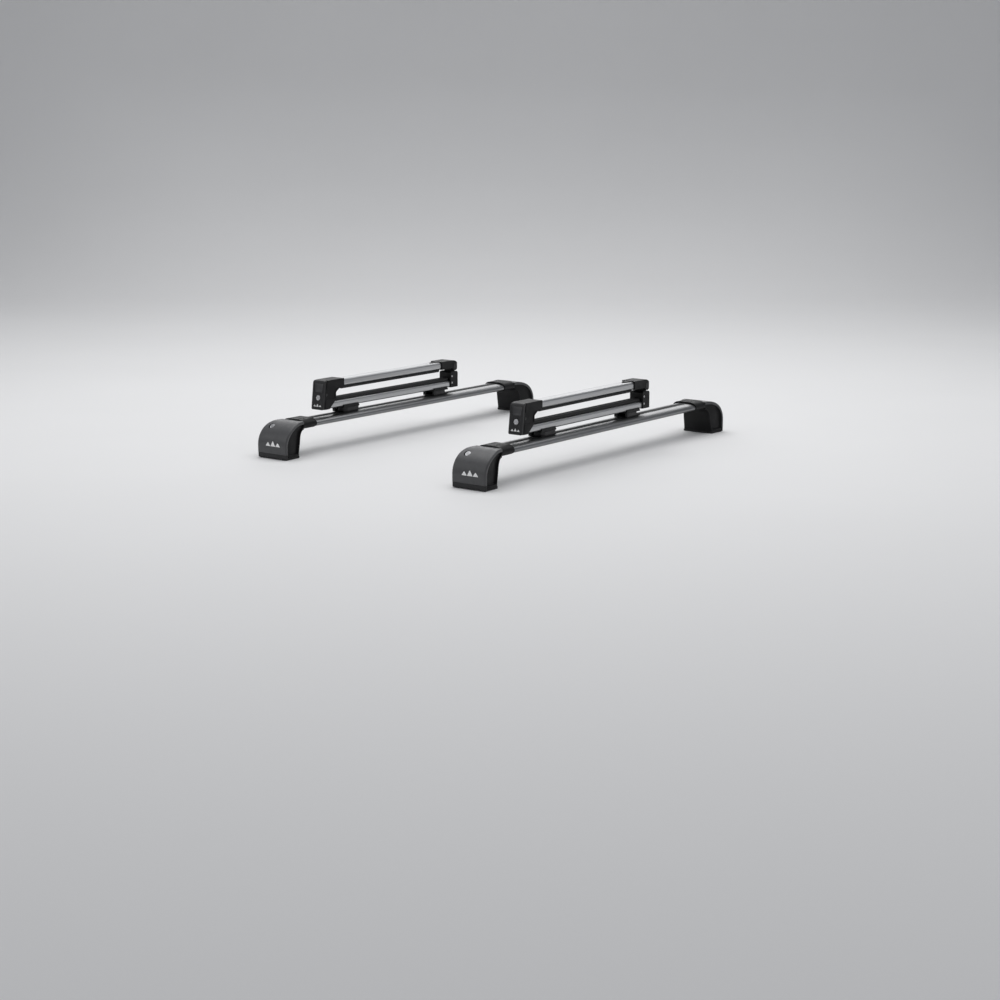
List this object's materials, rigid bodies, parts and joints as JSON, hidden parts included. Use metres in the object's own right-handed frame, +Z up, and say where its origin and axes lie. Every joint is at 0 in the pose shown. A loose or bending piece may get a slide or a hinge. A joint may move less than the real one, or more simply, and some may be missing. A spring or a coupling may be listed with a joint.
{
  "type": "roof ski rack",
  "caption": "Roof ski rack: wing-shaped load bars on clamped feet, each bar carrying a hinged, rubber-lined clamp with a latch that holds skis flat.",
  "frame": {"origin": "middle of the footprint of the four feet, on the surface that they stand on", "axes": "+X is the direction of travel and points to the front load bar, +Y runs along the load bars to the hinge side, +Z is up"},
  "size_m": [0.808, 1.172, 0.1975],
  "materials": {
    "aluminium": "satin anodised extrusion",
    "rubber": "matt black rubber",
    "black_plastic": "fine-grained black plastic",
    "cover_plastic": "dark grey moulded plastic",
    "button_plastic": "dark grey moulded plastic",
    "lever_plastic": "black moulded plastic",
    "steel": "bright steel"
  },
  "bodies": {
    "rack": {"front_load_bar": "aluminium", "front_slot_strip": "rubber", "front_lower_arm": "aluminium", "front_lower_rubber": "rubber", "front_near_end_cap": "black_plastic", "front_hinge_base": "black_plastic", "front_near_mount": "black_plastic", "front_far_mount": "black_plastic", "front_near_foot_body": "black_plastic", "front_near_foot_pad": "rubber", "front_far_foot_body": "black_plastic", "front_far_foot_pad": "rubber", "rear_load_bar": "aluminium", "rear_slot_strip": "rubber", "rear_lower_arm": "aluminium", "rear_lower_rubber": "rubber", "rear_near_end_cap": "black_plastic", "rear_hinge_base": "black_plastic", "rear_near_mount": "black_plastic", "rear_far_mount": "black_plastic", "rear_near_foot_body": "black_plastic", "rear_near_foot_pad": "rubber", "rear_far_foot_body": "black_plastic", "rear_far_foot_pad": "rubber"},
    "front_post": {"front_hinge_post": "black_plastic"},
    "front_arm": {"front_upper_arm": "aluminium", "front_upper_rubber": "rubber", "front_latch_housing": "black_plastic", "front_latch_cover": "black_plastic", "front_hinge_cap": "black_plastic"},
    "front_button": {"front_release_button": "button_plastic"},
    "front_hook": {"front_latch_hook": "steel"},
    "front_key_lock": {"front_lock_cylinder": "steel"},
    "front_catch": {"front_striker": "steel"},
    "front_near_clamp_lever": {"front_near_lever": "lever_plastic"},
    "front_far_clamp_lever": {"front_far_lever": "lever_plastic"},
    "front_near_cover": {"front_near_foot_cover": "cover_plastic"},
    "front_near_lock": {"front_near_foot_lock": "steel"},
    "front_near_jaw": {"front_near_foot_jaw": "steel"},
    "front_far_cover": {"front_far_foot_cover": "cover_plastic"},
    "front_far_lock": {"front_far_foot_lock": "steel"},
    "front_far_jaw": {"front_far_foot_jaw": "steel"},
    "rear_post": {"rear_hinge_post": "black_plastic"},
    "rear_arm": {"rear_upper_arm": "aluminium", "rear_upper_rubber": "rubber", "rear_latch_housing": "black_plastic", "rear_latch_cover": "black_plastic", "rear_hinge_cap": "black_plastic"},
    "rear_button": {"rear_release_button": "button_plastic"},
    "rear_hook": {"rear_latch_hook": "steel"},
    "rear_key_lock": {"rear_lock_cylinder": "steel"},
    "rear_catch": {"rear_striker": "steel"},
    "rear_near_clamp_lever": {"rear_near_lever": "lever_plastic"},
    "rear_far_clamp_lever": {"rear_far_lever": "lever_plastic"},
    "rear_near_cover": {"rear_near_foot_cover": "cover_plastic"},
    "rear_near_lock": {"rear_near_foot_lock": "steel"},
    "rear_near_jaw": {"rear_near_foot_jaw": "steel"},
    "rear_far_cover": {"rear_far_foot_cover": "cover_plastic"},
    "rear_far_lock": {"rear_far_foot_lock": "steel"},
    "rear_far_jaw": {"rear_far_foot_jaw": "steel"}
  },
  "joints": [
    {"name": "front_post_lift", "type": "slide", "parent": "rack", "child": "front_post", "axis": [0, 0, 1], "range_m": [0, 0.025], "stiffness_N_per_m": 800, "springref_m": -0.02},
    {"name": "front_arm_swing", "type": "hinge", "parent": "front_post", "child": "front_arm", "pos_m": [0.35, 0.209, 0.179], "axis": [-1, 0, 0], "range_deg": [0, 100]},
    {"name": "front_button_press", "type": "slide", "parent": "front_arm", "child": "front_button", "axis": [0, 1, 0], "range_m": [0, 0.004], "stiffness_N_per_m": 300, "springref_m": -0.002},
    {"name": "front_hook_turn", "type": "hinge", "parent": "front_arm", "child": "front_hook", "pos_m": [0.35, -0.371, 0.157], "axis": [-1, 0, 0], "range_deg": [0, 20]},
    {"name": "front_key_turn", "type": "hinge", "parent": "front_arm", "child": "front_key_lock", "pos_m": [0.35, -0.38479, 0.1485], "axis": [0, -0.9922, 0.1247], "range_deg": [0, 90]},
    {"name": "front_catch_lift", "type": "slide", "parent": "rack", "child": "front_catch", "axis": [0, 0, 1], "range_m": [0, 0.025]},
    {"name": "front_near_lever_turn", "type": "hinge", "parent": "rack", "child": "front_near_clamp_lever", "pos_m": [0.35, -0.285, 0.1055], "axis": [0, 0, -1], "range_deg": [0, 90]},
    {"name": "front_far_lever_turn", "type": "hinge", "parent": "rack", "child": "front_far_clamp_lever", "pos_m": [0.35, 0.159, 0.1055], "axis": [0, 0, 1], "range_deg": [0, 90]},
    {"name": "front_near_cover_tilt", "type": "hinge", "parent": "rack", "child": "front_near_cover", "pos_m": [0.35, -0.5845, 0.003], "axis": [1, 0, 0], "range_deg": [0, 35]},
    {"name": "front_near_lock_turn", "type": "hinge", "parent": "front_near_cover", "child": "front_near_lock", "pos_m": [0.322, -0.55402, 0.08761], "axis": [0, -0.7193, 0.6947], "range_deg": [0, 90]},
    {"name": "front_near_jaw_slide", "type": "slide", "parent": "rack", "child": "front_near_jaw", "axis": [0, -1, 0], "range_m": [0, 0.005]},
    {"name": "front_far_cover_tilt", "type": "hinge", "parent": "rack", "child": "front_far_cover", "pos_m": [0.35, 0.5845, 0.003], "axis": [-1, 0, 0], "range_deg": [0, 35]},
    {"name": "front_far_lock_turn", "type": "hinge", "parent": "front_far_cover", "child": "front_far_lock", "pos_m": [0.322, 0.55402, 0.08761], "axis": [0, 0.7193, 0.6947], "range_deg": [0, 90]},
    {"name": "front_far_jaw_slide", "type": "slide", "parent": "rack", "child": "front_far_jaw", "axis": [0, 1, 0], "range_m": [0, 0.005]},
    {"name": "rear_post_lift", "type": "slide", "parent": "rack", "child": "rear_post", "axis": [0, 0, 1], "range_m": [0, 0.025], "stiffness_N_per_m": 800, "springref_m": -0.02},
    {"name": "rear_arm_swing", "type": "hinge", "parent": "rear_post", "child": "rear_arm", "pos_m": [-0.35, 0.209, 0.179], "axis": [-1, 0, 0], "range_deg": [0, 100]},
    {"name": "rear_button_press", "type": "slide", "parent": "rear_arm", "child": "rear_button", "axis": [0, 1, 0], "range_m": [0, 0.004], "stiffness_N_per_m": 300, "springref_m": -0.002},
    {"name": "rear_hook_turn", "type": "hinge", "parent": "rear_arm", "child": "rear_hook", "pos_m": [-0.35, -0.371, 0.157], "axis": [-1, 0, 0], "range_deg": [0, 20]},
    {"name": "rear_key_turn", "type": "hinge", "parent": "rear_arm", "child": "rear_key_lock", "pos_m": [-0.35, -0.38479, 0.1485], "axis": [0, -0.9922, 0.1247], "range_deg": [0, 90]},
    {"name": "rear_catch_lift", "type": "slide", "parent": "rack", "child": "rear_catch", "axis": [0, 0, 1], "range_m": [0, 0.025]},
    {"name": "rear_near_lever_turn", "type": "hinge", "parent": "rack", "child": "rear_near_clamp_lever", "pos_m": [-0.35, -0.285, 0.1055], "axis": [0, 0, -1], "range_deg": [0, 90]},
    {"name": "rear_far_lever_turn", "type": "hinge", "parent": "rack", "child": "rear_far_clamp_lever", "pos_m": [-0.35, 0.159, 0.1055], "axis": [0, 0, 1], "range_deg": [0, 90]},
    {"name": "rear_near_cover_tilt", "type": "hinge", "parent": "rack", "child": "rear_near_cover", "pos_m": [-0.35, -0.5745, 0.003], "axis": [1, 0, 0], "range_deg": [0, 35]},
    {"name": "rear_near_lock_turn", "type": "hinge", "parent": "rear_near_cover", "child": "rear_near_lock", "pos_m": [-0.378, -0.54402, 0.08761], "axis": [0, -0.7193, 0.6947], "range_deg": [0, 90]},
    {"name": "rear_near_jaw_slide", "type": "slide", "parent": "rack", "child": "rear_near_jaw", "axis": [0, -1, 0], "range_m": [0, 0.005]},
    {"name": "rear_far_cover_tilt", "type": "hinge", "parent": "rack", "child": "rear_far_cover", "pos_m": [-0.35, 0.5745, 0.003], "axis": [-1, 0, 0], "range_deg": [0, 35]},
    {"name": "rear_far_lock_turn", "type": "hinge", "parent": "rear_far_cover", "child": "rear_far_lock", "pos_m": [-0.378, 0.54402, 0.08761], "axis": [0, 0.7193, 0.6947], "range_deg": [0, 90]},
    {"name": "rear_far_jaw_slide", "type": "slide", "parent": "rack", "child": "rear_far_jaw", "axis": [0, 1, 0], "range_m": [0, 0.005]}
  ],
  "couplings": [
    {"joint": "front_hook_turn", "follows": "front_button_press", "rad_per_m": 87},
    {"joint": "front_catch_lift", "follows": "front_post_lift", "ratio": 1},
    {"joint": "rear_hook_turn", "follows": "rear_button_press", "rad_per_m": 87},
    {"joint": "rear_catch_lift", "follows": "rear_post_lift", "ratio": 1}
  ]
}
